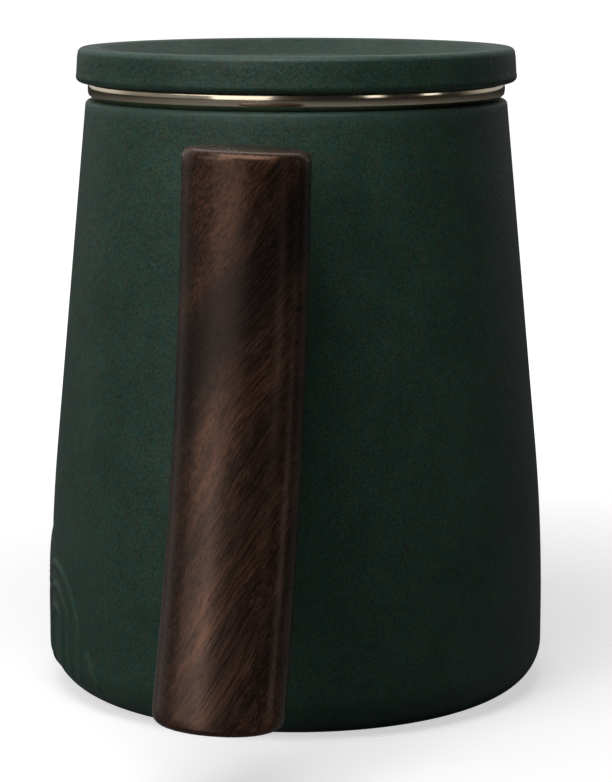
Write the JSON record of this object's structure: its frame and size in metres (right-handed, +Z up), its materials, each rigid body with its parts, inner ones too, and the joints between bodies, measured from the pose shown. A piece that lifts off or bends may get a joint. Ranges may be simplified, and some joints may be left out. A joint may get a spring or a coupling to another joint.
{
  "type": "lidded tea mug with infuser",
  "caption": "Stoneware tea mug, wider at its foot, with an outward-leaning wooden bar handle, a drop-in perforated infuser with a gold rim, and a low lift-off lid with a dished top.",
  "frame": {"origin": "centre of the base, on the surface the mug stands on", "axes": "+Z up along the cup's axis, +X towards the handle"},
  "size_m": [0.1409, 0.0947, 0.1207],
  "materials": {
    "matte_glaze": "fine-textured matte deep green glaze",
    "walnut": "oiled, satin",
    "champagne_steel": "polished, champagne-gold plated",
    "dowel_steel": "turned"
  },
  "bodies": {
    "cup": {"cup_body": "matte_glaze", "handle": "walnut", "upper_dowel": "dowel_steel", "lower_dowel": "dowel_steel"},
    "infuser": {"infuser_rim": "champagne_steel", "infuser_wall": "champagne_steel", "infuser_floor": "champagne_steel"},
    "lid": {"lid": "matte_glaze"}
  },
  "joints": [
    {"name": "infuser_lift", "type": "slide", "parent": "cup", "child": "infuser", "axis": [0, 0, 1], "range_m": [0, 0.09]},
    {"name": "lid_lift", "type": "slide", "parent": "infuser", "child": "lid", "axis": [0, 0, 1], "range_m": [0, 0.05]}
  ]
}
